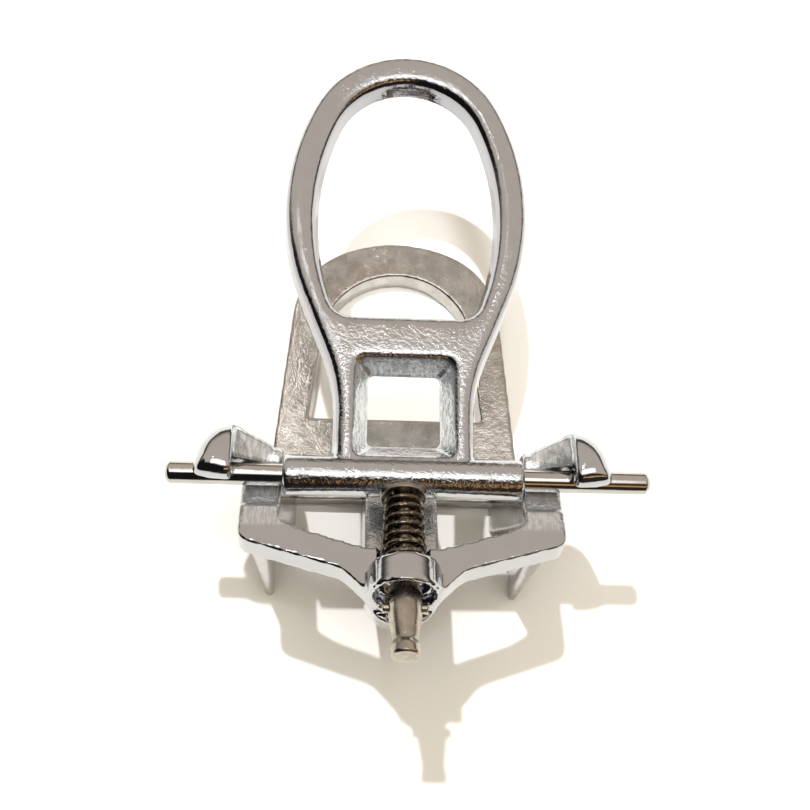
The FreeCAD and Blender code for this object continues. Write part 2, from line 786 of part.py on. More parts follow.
def main():
    pieces = [build_lower(), build_upper(), build_pin(), build_cup()]
    rod = build_rod()
    bore_rod_for_cross_pin(rod)
    pieces += [rod, build_spring(), build_knob(), build_cross_pin()]
    doc.recompute()
    for item in doc.Objects:
        if "Invalid" in item.State or "Error" in item.State:
            raise RuntimeError("%s: %s" % (item.Name, item.State))
    for piece in pieces:
        shape = piece.Shape
        if shape.isNull() or not shape.isValid():
            raise RuntimeError("bad shape: " + piece.Label)
        print("%-14s solids %d volume %9.1f box %s" % (
            piece.Label, len(shape.Solids), shape.Volume, shape.BoundBox))
        shape.exportStep(os.path.join("parts", piece.Label + ".step"))


main()
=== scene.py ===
import json
import math

import bmesh
import bpy
import numpy as np
from mathutils import Matrix, Vector


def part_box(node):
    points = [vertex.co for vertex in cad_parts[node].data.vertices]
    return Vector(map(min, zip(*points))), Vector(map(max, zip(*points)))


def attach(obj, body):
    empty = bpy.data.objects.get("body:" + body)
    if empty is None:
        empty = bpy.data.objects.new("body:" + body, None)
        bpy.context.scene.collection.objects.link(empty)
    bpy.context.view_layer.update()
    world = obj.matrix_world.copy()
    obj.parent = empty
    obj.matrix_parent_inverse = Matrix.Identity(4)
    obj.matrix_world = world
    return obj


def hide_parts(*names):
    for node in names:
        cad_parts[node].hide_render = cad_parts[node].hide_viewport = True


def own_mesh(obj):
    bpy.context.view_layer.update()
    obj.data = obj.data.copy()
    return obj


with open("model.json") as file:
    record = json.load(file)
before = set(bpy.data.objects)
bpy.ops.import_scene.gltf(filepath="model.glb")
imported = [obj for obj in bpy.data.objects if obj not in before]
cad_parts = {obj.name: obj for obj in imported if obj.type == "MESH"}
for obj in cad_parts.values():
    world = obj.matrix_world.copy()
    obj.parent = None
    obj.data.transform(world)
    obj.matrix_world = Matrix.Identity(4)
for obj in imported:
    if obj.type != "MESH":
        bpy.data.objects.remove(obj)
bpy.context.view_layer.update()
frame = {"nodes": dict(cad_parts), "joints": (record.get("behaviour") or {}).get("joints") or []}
MM = 0.001
scene = bpy.context.scene
JOINTS = {joint["name"]: joint for joint in frame["joints"]}

# The hinge axis runs along X; the plunger's axis rises to the rear through it.
HINGE = np.array(JOINTS["upper_hinge"]["pos_m"])
ALONG = np.array(JOINTS["plunger_slide"]["axis"])
ALONG = ALONG / np.linalg.norm(ALONG)
SLIDE = np.array(JOINTS["protrusion"]["axis"])
SLIDE = SLIDE / np.linalg.norm(SLIDE)
TRAVEL = JOINTS["protrusion"]["range_m"][1]

# Voxel sizes keep each casting under the export's triangle limit.
LOWER_VOXEL = 0.49 * MM
UPPER_VOXEL = 0.34 * MM
TRACK_RADIUS = 2.44 * MM
BORE_RADIUS = 2.43 * MM
TRACK_STEPS = 9


def points_of(node):
    """Vertices of a CAD node, as rows of X, Y, Z in metres."""
    mesh = frame["nodes"][node].data
    points = np.zeros(len(mesh.vertices) * 3)
    mesh.vertices.foreach_get("co", points)
    return points.reshape(-1, 3)


def guide_reach(node):
    """(front, rear, radius) of a turned CAD node, along the plunger's axis from the hinge."""
    offset = points_of(node) - HINGE
    along = offset @ ALONG
    radial = np.linalg.norm(offset - np.outer(along, ALONG), axis=1)
    return along.min(), along.max(), radial.max()


# ---------------------------------------------------------------- materials

class Nodes:
    """A material's or world's node tree, with short calls for the nodes used here."""

    def __init__(self, tree):
        self.tree = tree
        self.tree.nodes.clear()

    def add(self, kind, inputs=None, **settings):
        node = self.tree.nodes.new(kind)
        for name, value in settings.items():
            setattr(node, name, value)
        for name, value in (inputs or {}).items():
            self.put(node.inputs[name], value)
        return node

    def put(self, socket, value):
        if isinstance(value, bpy.types.NodeSocket):
            self.tree.links.new(value, socket)
        else:
            socket.default_value = value

    def noise(self, vector, scale, detail=3.0, roughness=0.5):
        node = self.add("ShaderNodeTexNoise", {"Vector": vector, "Scale": scale, "Detail": detail,
                                               "Roughness": roughness})
        return node.outputs["Fac"]

    def ramp(self, value, low, high, out_low=0.0, out_high=1.0):
        node = self.add("ShaderNodeMapRange", {"Value": value, "From Min": low, "From Max": high,
                                               "To Min": out_low, "To Max": out_high},
                        interpolation_type="SMOOTHSTEP")
        return node.outputs["Result"]

    def maths(self, operation, first, second=0.0):
        node = self.add("ShaderNodeMath", operation=operation)
        self.put(node.inputs[0], first)
        self.put(node.inputs[1], second)
        return node.outputs[0]

    def mix(self, factor, first, second):
        node = self.add("ShaderNodeMix", data_type="RGBA")
        for index, value in ((0, factor), (6, first), (7, second)):
            self.put(node.inputs[index], value)
        return node.outputs[2]

    def bump(self, height, distance, strength=1.0, normal=None):
        inputs = {"Height": height, "Distance": distance, "Strength": strength}
        if normal is not None:
            inputs["Normal"] = normal
        return self.add("ShaderNodeBump", inputs).outputs["Normal"]


def new_metal(name):
    material = bpy.data.materials.new(name)
    material.use_nodes = True
    nodes = Nodes(material.node_tree)
    place = nodes.add("ShaderNodeTexCoord").outputs["Object"]
    shader = nodes.add("ShaderNodeBsdfPrincipled", {"Metallic": 1.0})
    out = nodes.add("ShaderNodeOutputMaterial")
    nodes.put(out.inputs["Surface"], shader.outputs["BSDF"])
    return material, nodes, place, shader


def frame_chrome():
    """Chrome over a casting. Four vertex attributes vary it: peel is the strength of the
    orange peel, cast the share left as cast, satin the share dulled by poor plating and,
    on the pads, also painted sheen; side the share of painted shade, a darker, bluer
    chrome on steep walls."""
    material, nodes, place, shader = new_metal("frame_chrome")
    cast, peel, satin, side = (nodes.add("ShaderNodeAttribute", attribute_name=name).outputs["Fac"]
                               for name in ("cast", "peel", "satin", "side"))
    blotch = nodes.noise(place, 260.0, 4.0)
    dimples = nodes.noise(place, 1250.0, 2.0)
    grain = nodes.noise(place, 2800.0, 2.0, 0.6)
    streak_place = nodes.add("ShaderNodeMapping", {"Vector": place, "Scale": (1500.0, 420.0, 420.0)})
    streaks = nodes.noise(streak_place.outputs[0], 1.0, 3.0, 0.6)
    pits = nodes.ramp(nodes.noise(place, 1000.0, 1.0), 0.22, 0.27, 1.0, 0.0)
    painted_crevice_shade = nodes.ramp(nodes.add("ShaderNodeNewGeometry").outputs["Pointiness"], 0.40, 0.49, 1.0, 0.0)
    bright = nodes.mix(blotch, (0.58, 0.60, 0.63, 1), (0.52, 0.545, 0.58, 1))
    rough = nodes.mix(nodes.ramp(blotch, 0.35, 0.65), (0.53, 0.515, 0.495, 1), (0.42, 0.40, 0.375, 1))
    # Milky satin colour; on the pads it is also painted sheen, standing in for the light reflection bands
    # there.
    milky_and_painted_sheen = nodes.mix(nodes.ramp(streaks, 0.38, 0.62), (0.50, 0.53, 0.55, 1), (0.80, 0.84, 0.88, 1))
    # Painted shade: a darker, bluer chrome for steep walls, set by the side attribute.
    painted_wall_shade = nodes.mix(blotch, (0.415, 0.425, 0.455, 1), (0.375, 0.385, 0.42, 1))
    plated = nodes.mix(side, nodes.mix(cast, bright, rough), painted_wall_shade)
    colour = nodes.mix(satin, plated, milky_and_painted_sheen)
    # Painted shade: concave creases are darkened towards brown.
    colour = nodes.mix(nodes.maths("MULTIPLY", painted_crevice_shade, 0.30), colour, (0.22, 0.19, 0.16, 1))
    colour = nodes.mix(nodes.maths("MULTIPLY", pits, nodes.maths("MULTIPLY", cast, 0.8)),
                       colour, (0.09, 0.08, 0.07, 1))
    nodes.put(shader.inputs["Base Color"], colour)
    nodes.put(shader.inputs["Metallic"], nodes.ramp(satin, 0.0, 1.0, 1.0, 0.72))
    polished = nodes.ramp(blotch, 0.3, 0.7, 0.045, 0.09)
    dull = nodes.ramp(grain, 0.3, 0.7, 0.11, 0.19)
    spread = nodes.maths("SUBTRACT", dull, polished)
    level = nodes.maths("ADD", polished, nodes.maths("MULTIPLY", spread, cast))
    nodes.put(shader.inputs["Roughness"], nodes.maths("ADD", level, nodes.maths("MULTIPLY", satin, 0.14)))
    first = nodes.bump(dimples, 1.1e-4, peel)
    second = nodes.bump(grain, 5.0e-5, peel, first)
    nodes.put(shader.inputs["Normal"], nodes.bump(streaks, 6.0e-5, satin, second))
    return material


def pin_chrome():
    """Plated rod: bright, with faint scratches round it and along it."""
    material, nodes, place, shader = new_metal("pin_chrome")
    stretched = nodes.add("ShaderNodeMapping", {"Vector": place, "Scale": (60.0, 1400.0, 1400.0)})
    along = nodes.noise(stretched.outputs[0], 1.0, 3.0, 0.6)
    rings = nodes.add("ShaderNodeMapping", {"Vector": place, "Scale": (5200.0, 90.0, 90.0)})
    around = nodes.noise(rings.outputs[0], 1.0, 2.0)
    blotch = nodes.noise(place, 300.0, 4.0)
    peel = nodes.noise(place, 1100.0, 2.0)
    colour = nodes.mix(blotch, (0.60, 0.60, 0.60, 1), (0.50, 0.49, 0.47, 1))
    nodes.put(shader.inputs["Base Color"], colour)
    nodes.put(shader.inputs["Roughness"], nodes.ramp(along, 0.3, 0.7, 0.06, 0.15))
    first = nodes.bump(peel, 1.2e-5, 0.7)
    second = nodes.bump(along, 5e-6, 0.6, first)
    nodes.put(shader.inputs["Normal"], nodes.bump(around, 2e-6, 0.6, second))
    return material


def turned_nickel():
    """Nickel-plated turning: fine tool rings across the plunger's axis, worn at its edges."""
    material, nodes, place, shader = new_metal("turned_nickel")
    tilt = math.atan2(ALONG[2], -ALONG[1])
    laid = nodes.add("ShaderNodeMapping", {"Vector": place, "Rotation": (tilt, 0.0, 0.0)})
    rings = nodes.add("ShaderNodeMapping", {"Vector": laid.outputs[0], "Scale": (120.0, 6500.0, 120.0)})
    tool = nodes.noise(rings.outputs[0], 1.0, 2.0)
    blotch = nodes.noise(place, 420.0, 4.0)
    peel = nodes.noise(place, 900.0, 2.0)
    edge = nodes.ramp(nodes.add("ShaderNodeNewGeometry").outputs["Pointiness"], 0.51, 0.56)
    colour = nodes.mix(nodes.ramp(blotch, 0.35, 0.65), (0.50, 0.465, 0.41, 1), (0.40, 0.37, 0.32, 1))
    colour = nodes.mix(nodes.maths("MULTIPLY", edge, 0.45), colour, (0.60, 0.57, 0.51, 1))
    nodes.put(shader.inputs["Base Color"], colour)
    nodes.put(shader.inputs["Roughness"], nodes.ramp(blotch, 0.3, 0.7, 0.20, 0.34))
    first = nodes.bump(peel, 1.6e-5, 0.8)
    nodes.put(shader.inputs["Normal"], nodes.bump(tool, 3e-6, 0.8, first))
    return material


def spring_steel():
    """Oil-tempered wire: brown-grey, with drawing marks and rubbed bright spots. On the
    plunger rod its dark tone is painted shade for the gaps between the coils.
    """
    material, nodes, place, shader = new_metal("spring_steel")
    blotch = nodes.noise(place, 700.0, 4.0)
    rub = nodes.ramp(nodes.noise(place, 1500.0, 2.0), 0.52, 0.66)
    colour = nodes.mix(blotch, (0.20, 0.17, 0.125, 1), (0.09, 0.075, 0.055, 1))
    colour = nodes.mix(rub, colour, (0.42, 0.38, 0.32, 1))
    nodes.put(shader.inputs["Base Color"], colour)
    nodes.put(shader.inputs["Roughness"], nodes.ramp(blotch, 0.3, 0.7, 0.12, 0.24))
    nodes.put(shader.inputs["Normal"], nodes.bump(nodes.noise(place, 2400.0, 2.0), 1e-5, 0.8))
    return material


# ---------------------------------------------------------------- mesh helpers

def new_object(name, mesh):
    obj = bpy.data.objects.new(name, mesh)
    scene.collection.objects.link(obj)
    return obj


def mesh_from(name, points, faces):
    mesh = bpy.data.meshes.new(name)
    mesh.from_pydata([tuple(p) for p in points], [], [tuple(f) for f in faces])
    mesh.validate()
    return mesh


def finish_piece(obj, body, material, slot, *nodes):
    obj.data.materials.clear()
    obj.data.materials.append(material)
    obj.data.polygons.foreach_set("use_smooth", [True] * len(obj.data.polygons))
    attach(obj, body)
    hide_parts(*nodes)
    return obj


def waves(points, length, seed, count=18):
    """Smooth noise of about unit height: waves of that length in scattered directions."""
    rng = np.random.default_rng(seed)
    total = np.zeros(len(points))
    for _ in range(count):
        direction = rng.normal(size=3)
        direction /= np.linalg.norm(direction)
        pitch = length * rng.uniform(0.7, 1.5)
        total += np.sin(points @ direction * (2 * math.pi / pitch) + rng.uniform(0, 2 * math.pi))
    return total / math.sqrt(count / 2)


def smooth(points, edges, rounds, weight=None):
    """Taubin smoothing: rounds edges without shrinking walls."""
    count = len(points)
    degree = np.bincount(edges.ravel(), minlength=count)[:, None]
    factor = np.ones((count, 1)) if weight is None else weight[:, None]
    for _ in range(rounds):
        for step in (0.55, -0.53):
            total = np.stack([np.bincount(edges[:, 0], points[edges[:, 1], k], count)
                              + np.bincount(edges[:, 1], points[edges[:, 0], k], count)
                              for k in range(3)], axis=1)
            points = points + factor * step * (total / degree - points)
    return points


def round_over(points, edges, rounds, weight):
    """Plain smoothing where the weight is high: turns a flat top with rounds into a crown."""
    count = len(points)
    degree = np.bincount(edges.ravel(), minlength=count)[:, None]
    for _ in range(rounds):
        total = np.stack([np.bincount(edges[:, 0], points[edges[:, 1], k], count)
                          + np.bincount(edges[:, 1], points[edges[:, 0], k], count)
                          for k in range(3)], axis=1)
        points = points + 0.5 * weight[:, None] * (total / degree - points)
    return points


def keep_out(points, start, end, radius, margin=0.25 * MM):
    """Pushes points that lie inside a capsule out towards its surface.

    Points nearer the middle line than the margin move by the margin's factor, so they do not
    fly off."""
    line = end - start
    share = np.clip((points - start) @ line / (line @ line), 0.0, 1.0)
    nearest = start + share[:, None] * line
    offset = points - nearest
    far = np.linalg.norm(offset, axis=1)
    inside = far < radius
    scale = radius / np.maximum(far, margin)
    return np.where(inside[:, None], nearest + offset * scale[:, None], points)


def remeshed(name, sources, voxel):
    """One closed skin round all the source meshes."""
    bm = bmesh.new()
    for mesh in sources:
        bm.from_mesh(mesh)
    bmesh.ops.remove_doubles(bm, verts=bm.verts, dist=1e-6)
    mesh = bpy.data.meshes.new(name)
    bm.to_mesh(mesh)
    bm.free()
    obj = new_object(name, mesh)
    modifier = obj.modifiers.new("skin", "REMESH")
    modifier.mode = "VOXEL"
    modifier.voxel_size = voxel
    modifier.adaptivity = 0.0
    graph = bpy.context.evaluated_depsgraph_get()
    skin = bpy.data.meshes.new_from_object(obj.evaluated_get(graph))
    obj.modifiers.clear()
    obj.data = skin
    return obj


def coordinates(mesh):
    points = np.zeros(len(mesh.vertices) * 3)
    mesh.vertices.foreach_get("co", points)
    return points.reshape(-1, 3)


def vertex_normals(mesh):
    normals = np.zeros(len(mesh.vertices) * 3)
    mesh.vertex_normals.foreach_get("vector", normals)
    return normals.reshape(-1, 3)


def edge_pairs(mesh):
    pairs = np.zeros(len(mesh.edges) * 2, dtype=np.int64)
    mesh.edges.foreach_get("vertices", pairs)
    return pairs.reshape(-1, 2)


def set_points(mesh, points):
    mesh.vertices.foreach_set("co", points.ravel())
    mesh.update()


def set_attribute(mesh, name, values):
    attribute = mesh.attributes.new(name, "FLOAT", "POINT")
    attribute.data.foreach_set("value", values.astype(np.float32))


def step_up(value, low, high):
    """0 below low, 1 above high, smooth between."""
    share = np.clip((value - low) / (high - low), 0.0, 1.0)
    return share * share * (3 - 2 * share)


# ---------------------------------------------------------------- lower casting

CLAW_CUT = 34.3 * MM
# The claw's plan is a quarter ellipse about its inner rear corner; its top lies over the pin.
CLAW_CORNER = (35.4 * MM, -0.6 * MM)
CLAW_REACH = (8.1 * MM, 10.9 * MM)
CLAW_REAR = 1.7 * MM
CLAW_INNER = 31.0 * MM
CLAW_TOP = (39.3 * MM, 0.9 * MM)
CLAW_RIM = HINGE[2] + 1.0 * MM
CLAW_RISE = 6.4 * MM


def in_claw(x, y):
    """Below 1 inside the claw's plan, above 1 outside."""
    out = max(0.0, x - CLAW_CORNER[0]) / CLAW_REACH[0]
    ahead = max(0.0, y - CLAW_CORNER[1]) / CLAW_REACH[1]
    behind = max(0.0, CLAW_CORNER[1] - y) / CLAW_REAR
    inner = max(0.0, CLAW_CORNER[0] - x) / (CLAW_CORNER[0] - CLAW_INNER)
    return out ** 2.1 + ahead ** 2.1 + behind ** 2.1 + inner ** 2.1


def claw_rim(angle):
    """Distance from the claw's top to the edge of its plan, in that direction."""
    near, far = 0.0, 30.0 * MM
    for _ in range(30):
        middle = (near + far) / 2
        if in_claw(CLAW_TOP[0] + middle * math.cos(angle), CLAW_TOP[1] + middle * math.sin(angle)) < 1:
            near = middle
        else:
            far = middle
    return near


def claw_underside(y):
    """Lowest part of the claw: it clears the sliding pin, and stands on the frame ahead of it."""
    clearance = 2.56 * MM
    tangent = clearance * SLIDE[2]
    if y < tangent:
        return HINGE[2] + clearance / -SLIDE[1] - y * SLIDE[2] / -SLIDE[1]
    if y < clearance:
        return HINGE[2] + math.sqrt(clearance ** 2 - y ** 2)
    return HINGE[2] - 6.0 * MM


def claw_mesh(side):
    """Thumb-shaped claw: a dome over its plan, with a skirt that stands on the frame."""
    around, rings = 96, 16
    points = [(side * CLAW_TOP[0], CLAW_TOP[1], CLAW_RIM + CLAW_RISE)]
    rims = [claw_rim(2 * math.pi * k / around) for k in range(around)]
    for i in range(1, rings + 2):
        share = math.sin(math.pi / 2 * min(i, rings) / rings)
        for k, rim in enumerate(rims):
            angle = 2 * math.pi * k / around
            x = max(CLAW_TOP[0] + rim * share * math.cos(angle), CLAW_CORNER[0])
            y = CLAW_TOP[1] + rim * share * math.sin(angle)
            foot = claw_underside(y)
            base = max(CLAW_RIM, foot + 0.15 * MM)
            z = base + (CLAW_RIM + CLAW_RISE - base) * math.sqrt(max(0.0, 1 - share ** 2))
            if i > rings:
                z = foot
            points.append((side * x, y, z))
    faces = [(0, 1 + k, 1 + (k + 1) % around) for k in range(around)]
    for i in range(rings):
        for k in range(around):
            a = 1 + i * around + k
            b = 1 + i * around + (k + 1) % around
            faces.append((a, a + around, b + around, b))
    faces.append(tuple(1 + rings * around + k for k in range(around)))
    mesh = mesh_from("claw", points, faces)
    fix_normals(mesh)
    return mesh


def web_mesh(side):
    """Rough web that climbs from the pad to the claw, in front of the pin."""
    columns = 24
    rows = 14
    left, right = 28.2 * MM, 36.6 * MM
    points = []
    for i in range(columns):
        x = left + (right - left) * i / (columns - 1)
        climb = step_up(x, 28.6 * MM, 37.0 * MM)
        front = 6.1 * MM + 4.0 * MM * step_up(x, 29.5 * MM, 35.2 * MM)
        for j in range(rows):
            share = j / (rows - 1)
            y = 2.9 * MM + (front - 2.9 * MM) * share
            crown = 1 - abs(2 * share - 0.9) ** 3
            top = HINGE[2] - 0.9 * MM + 5.6 * MM * climb + 0.4 * MM * crown - 2.6 * MM * climb * share ** 2
            points.append((side * x, y, top))
    count = len(points)
    points += [(x, y, HINGE[2] - 3.4 * MM) for x, y, _ in points]
    faces = []
    for i in range(columns - 1):
        for j in range(rows - 1):
            a = i * rows + j
            quad = (a, a + rows, a + rows + 1, a + 1)
            faces.append(quad)
            faces.append(tuple(count + v for v in reversed(quad)))
    rim = [j for j in range(rows)] + [i * rows + rows - 1 for i in range(1, columns)]
    rim += [(columns - 1) * rows + j for j in range(rows - 2, -1, -1)]
    rim += [i * rows for i in range(columns - 2, 0, -1)]
    for k, a in enumerate(rim):
        b = rim[(k + 1) % len(rim)]
        faces.append((a, b, count + b, count + a))
    mesh = mesh_from("web", points, faces)
    fix_normals(mesh)
    return mesh


def fix_normals(mesh):
    bm = bmesh.new()
    bm.from_mesh(mesh)
    bmesh.ops.recalc_face_normals(bm, faces=bm.faces)
    bm.to_mesh(mesh)
    bm.free()


def trimmed_frame():
    """The CAD casting without its claws, which are modelled here."""
    bm = bmesh.new()
    bm.from_mesh(frame["nodes"]["lower_frame"].data)
    bmesh.ops.remove_doubles(bm, verts=bm.verts, dist=1e-6)
    for side in (1, -1):
        cut = bmesh.ops.bisect_plane(bm, geom=bm.verts[:] + bm.edges[:] + bm.faces[:], dist=1e-7,
                                     plane_co=(side * CLAW_CUT, 0, 0), plane_no=(side, 0, 0),
                                     clear_outer=True)
        rim = [e for e in cut["geom_cut"] if isinstance(e, bmesh.types.BMEdge)]
        bmesh.ops.edgeloop_fill(bm, edges=rim)
    mesh = bpy.data.meshes.new("trimmed_frame")
    bm.to_mesh(mesh)
    bm.free()
    return mesh


def within(value, low, high, soft):
    """1 between low and high, 0 outside, over a soft edge."""
    return step_up(value, low - soft, low) * (1 - step_up(value, high, high + soft))


def lower_masks(points):
    """Shares of orange peel, of as-cast surface and of satin plating on the lower casting;
    on the pads the satin share is partly painted sheen.
    """
    x, y, z = np.abs(points[:, 0]), points[:, 1], points[:, 2]
    bow = 1 - step_up(z, 9.0 * MM, 14.0 * MM)
    strut = within(x, 0.0, 7.8 * MM, 0.4 * MM) * within(y, -17.5 * MM, -2.0 * MM, 3.0 * MM) \
        * (1 - step_up(z, 44.0 * MM, 50.0 * MM))
    posts = within(z, 12.0 * MM, 36.0 * MM, 4.0 * MM)
    web = within(x, 27.5 * MM, 35.2 * MM, 0.8 * MM) * step_up(y, 2.4 * MM, 3.0 * MM) \
        * step_up(z, 38.0 * MM, 41.0 * MM)
    pads = within(x, 25.0 * MM, 34.2 * MM, 0.8 * MM) * within(y, -10.5 * MM, 6.0 * MM, 1.0 * MM) \
        * step_up(z, 42.0 * MM, 43.0 * MM)
    peel = np.maximum.reduce([0.55 * bow, strut, 0.6 * posts, pads, 0.5 * web])
    cast = np.maximum.reduce([bow, 0.6 * strut, 0.45 * posts, 0.2 * pads])
    # On the pads the satin share is painted sheen as well as satin plating: its milky colour stands in for
    # light reflection bands.
    return np.maximum(peel, 0.16), cast, np.maximum.reduce([0.85 * web, 0.15 * strut, 0.5 * pads])


def build_lower(material):
    sources = [trimmed_frame()]
    for side in (1, -1):
        sources += [claw_mesh(side), web_mesh(side)]
    obj = remeshed("frame_casting", sources, LOWER_VOXEL)
    mesh = obj.data
    points = smooth(coordinates(mesh), edge_pairs(mesh), 10)
    x, y, z = np.abs(points[:, 0]), points[:, 1], points[:, 2]
    claws = step_up(x, 33.5 * MM, 36.0 * MM) * step_up(z, 38.0 * MM, 41.0 * MM)
    points = smooth(points, edge_pairs(mesh), 30, claws)
    set_points(mesh, points)
    normals = vertex_normals(mesh)
    peel, cast, satin = lower_masks(points)
    ripple = waves(points, 7.0 * MM, 3) * 0.008 * MM + cast * waves(points, 2.4 * MM, 4) * 0.006 * MM
    points = points + normals * ripple[:, None]
    across = np.array([60.0 * MM, 0.0, 0.0])
    for share in np.linspace(0.0, 1.0, TRACK_STEPS):
        centre = HINGE + SLIDE * TRAVEL * share
        points = keep_out(points, centre - across, centre + across, TRACK_RADIUS)
    set_points(mesh, points)
    for name, values in (("peel", peel), ("cast", cast), ("satin", satin)):
        set_attribute(mesh, name, values)
    return finish_piece(obj, "lower", material, "frame_chrome", "lower_frame")


# ---------------------------------------------------------------- upper casting

def build_upper(material):
    obj = remeshed("upper_casting", [frame["nodes"]["upper_bow"].data], UPPER_VOXEL)
    mesh = obj.data
    points = smooth(coordinates(mesh), edge_pairs(mesh), 8)
    crown = step_up(points[:, 2], 46.8 * MM, 48.4 * MM) * step_up(points[:, 1], 8.0 * MM, 12.0 * MM)
    points = round_over(points, edge_pairs(mesh), 26, crown)
    set_points(mesh, points)
    normals = vertex_normals(mesh)
    ripple = waves(points, 6.0 * MM, 11) * 0.008 * MM + waves(points, 2.0 * MM, 12) * 0.003 * MM
    points = points + normals * ripple[:, None]
    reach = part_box("upper_bow")[1][0]
    points = keep_out(points, HINGE - [reach, 0, 0], HINGE + [reach, 0, 0], BORE_RADIUS)
    set_points(mesh, points)
    x, y = np.abs(points[:, 0]), points[:, 1]
    under = step_up(-normals[:, 2], 0.6, 0.9)
    walls = 1 - step_up(normals[:, 2], 0.6, 0.85)
    window = within(x, 0.0, 11.0 * MM, 1.0 * MM) * within(y, 8.0 * MM, 30.0 * MM, 2.0 * MM) * walls
    bar = within(x, 0.0, 12.0 * MM, 3.0 * MM) * within(y, 28.0 * MM, 36.0 * MM, 3.0 * MM)
    loop = 1 - 0.45 * step_up(y, 40.0 * MM, 60.0 * MM) + 0.45 * step_up(y, 85.0 * MM, 95.0 * MM)
    set_attribute(mesh, "cast", np.maximum(0.8 * under, 0.25 * bar))
    set_attribute(mesh, "satin", 0.7 * window)
    # Painted shade on the loop's steep walls: the side attribute darkens their chrome and turns it bluer.
    set_attribute(mesh, "side", walls * (1 - window) * (1 - under) * step_up(y, 5.5 * MM, 8.0 * MM))
    set_attribute(mesh, "peel", loop * (1 - 0.7 * walls * (1 - window)))
    return finish_piece(obj, "upper", material, "frame_chrome", "upper_bow")


# ---------------------------------------------------------------- turned pieces

def turned(name, profile, segments=96, axis=None, centre=None):
    """Solid of revolution about an axis, from (along, radius) corners, each with its own round.

    A corner is (along, radius, round); the first and last corners lie on the axis."""
    axis = ALONG if axis is None else np.array(axis, float)
    centre = HINGE if centre is None else np.array(centre, float)
    side = np.array([1.0, 0.0, 0.0]) if abs(axis[0]) < 0.9 else np.array([0.0, 1.0, 0.0])
    other = np.cross(axis, side)
    line = rounded(profile)
    points, rings = [], []
    for along, radius in line:
        base = centre + axis * along
        if radius < 1e-6:
            rings.append([len(points)])
            points.append(base)
            continue
        rings.append(list(range(len(points), len(points) + segments)))
        for k in range(segments):
            angle = 2 * math.pi * k / segments
            points.append(base + radius * (math.cos(angle) * side + math.sin(angle) * other))
    faces = []
    for first, second in zip(rings, rings[1:]):
        for k in range(segments):
            n = (k + 1) % segments
            if len(first) == 1 and len(second) == 1:
                continue
            if len(first) == 1:
                faces.append((first[0], second[n], second[k]))
            elif len(second) == 1:
                faces.append((first[k], first[n], second[0]))
            else:
                faces.append((first[k], first[n], second[n], second[k]))
    mesh = mesh_from(name, points, faces)
    fix_normals(mesh)
    return new_object(name, mesh)


def rounded(profile, steps=7):
    """Polyline whose corners are rounded by quadratic arcs of the corner's own size."""
    line = []
    for i, (along, radius, size) in enumerate(profile):
        here = np.array([along, radius])
        if size <= 0 or i in (0, len(profile) - 1):
            line.append(here)
            continue
        before = np.array(profile[i - 1][:2]) - here
        after = np.array(profile[i + 1][:2]) - here
        reach_in = min(size, 0.49 * np.linalg.norm(before))
        reach_out = min(size, 0.49 * np.linalg.norm(after))
        start = here + before / np.linalg.norm(before) * reach_in
        end = here + after / np.linalg.norm(after) * reach_out
        for k in range(steps + 1):
            t = k / steps
            line.append((1 - t) ** 2 * start + 2 * t * (1 - t) * here + t * t * end)
    return line


def build_pin(material):
    low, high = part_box("hinge_pin")
    radius = (high[2] - low[2]) / 2
    middle = (low[0] + high[0]) / 2
    half = (high[0] - low[0]) / 2
    chamfer = 0.7 * MM
    right_chamfer = 1.0 * MM
    profile = [(-half, 0, 0),
               (-half, radius - chamfer, 0.3 * MM),
               (-half + chamfer, radius, 0.35 * MM),
               (0, radius, 0),
               (half - right_chamfer, radius, 0.35 * MM),
               (half, radius - right_chamfer, 0.3 * MM),
               (half, 0, 0)]
    obj = turned("pin_rod", profile, 128, (1, 0, 0), (middle, HINGE[1], HINGE[2]))
    return finish_piece(obj, "carriage", material, "pin_chrome", "hinge_pin")


def build_cup(material):
    front, rear, radius = guide_reach("spring_cup")
    rear -= 0.7 * MM
    hole = 1.99 * MM
    floor = front + 0.8 * MM
    wall = 0.55 * MM
    lip = 0.35 * MM
    profile = [(front, hole, 0),
               (front, radius - lip, 0.3 * MM),
               (front + lip, radius, 0.3 * MM),
               (rear, radius, 0.2 * MM),
               (rear, radius - wall, 0.15 * MM),
               (floor, radius - wall, 0.3 * MM),
               (floor, hole, 0),
               (front, hole, 0)]
    obj = turned("spring_seat", profile, 96)
    return finish_piece(obj, "cup", material, "turned_nickel", "spring_cup")


def build_rod(material):
    front, rear, radius = guide_reach("plunger_rod")
    profile = [(front, 0, 0), (front, radius, 0.3 * MM), (rear, radius, 0.3 * MM), (rear, 0, 0)]
    obj = turned("plunger_shaft", profile, 64)
    # The rod takes the dark spring steel: painted shade for the gaps between the coils.
    return finish_piece(obj, "plunger", material, "spring_steel", "plunger_rod")


def build_knob(material):
    front, rear, _ = guide_reach("pull_knob")
    shoulder = 3.36 * MM
    waist = 2.38 * MM
    button = 2.86 * MM
    nose = 0.9 * MM
    profile = [(front, 0, 0),
               (front, shoulder - nose, 0.5 * MM),
               (front + nose, shoulder, 0.5 * MM),
               (front + 6.2 * MM, shoulder, 1.2 * MM),
               (rear - 4.3 * MM, waist + 0.25 * MM, 1.4 * MM),
               (rear - 3.2 * MM, waist, 0.5 * MM),
               (rear - 2.0 * MM, button, 0.45 * MM),
               (rear - 0.35 * MM, button, 0.3 * MM),
               (rear, button - 0.4 * MM, 0.2 * MM),
               (rear, 0, 0)]
    obj = turned("knob_turned", profile, 112)
    return finish_piece(obj, "plunger", material, "turned_nickel", "pull_knob")


